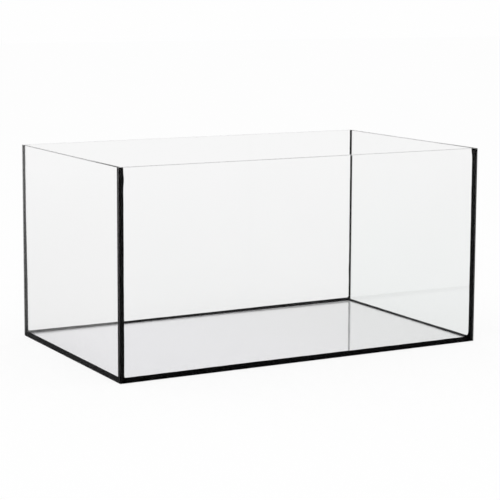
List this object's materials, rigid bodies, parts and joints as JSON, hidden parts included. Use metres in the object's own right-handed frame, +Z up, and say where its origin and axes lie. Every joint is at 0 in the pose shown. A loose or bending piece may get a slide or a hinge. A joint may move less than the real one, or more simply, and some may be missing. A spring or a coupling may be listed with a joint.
{
  "type": "aquarium",
  "caption": "Open-topped frameless rectangular glass aquarium, its flat panes glued with black silicone joints and inner seal beads, for keeping water, fish and plants.",
  "frame": {"origin": "centre of the footprint, on the surface that the tank stands on", "axes": "+X along the width, +Y from the front pane to the rear pane, +Z up"},
  "size_m": [0.6, 0.36, 0.3],
  "materials": {
    "wall_glass": "clear float glass, edges ground with a small polished arris",
    "base_glass": "clear float glass, edges ground",
    "joint_silicone": "cured black silicone, soft gloss, trimmed flush with the glass",
    "seal_silicone": "cured black silicone, tooled by hand to a hollow bead"
  },
  "bodies": {
    "root": {"bottom_pane": "base_glass", "front_pane": "wall_glass", "rear_pane": "wall_glass", "left_pane": "wall_glass", "right_pane": "wall_glass", "front_left_joint": "joint_silicone", "front_right_joint": "joint_silicone", "rear_left_joint": "joint_silicone", "rear_right_joint": "joint_silicone", "front_base_joint": "joint_silicone", "rear_base_joint": "joint_silicone", "left_base_joint": "joint_silicone", "right_base_joint": "joint_silicone", "front_left_seal": "seal_silicone", "front_right_seal": "seal_silicone", "rear_left_seal": "seal_silicone", "rear_right_seal": "seal_silicone", "front_base_seal": "seal_silicone", "rear_base_seal": "seal_silicone", "left_base_seal": "seal_silicone", "right_base_seal": "seal_silicone"}
  },
  "joints": []
}
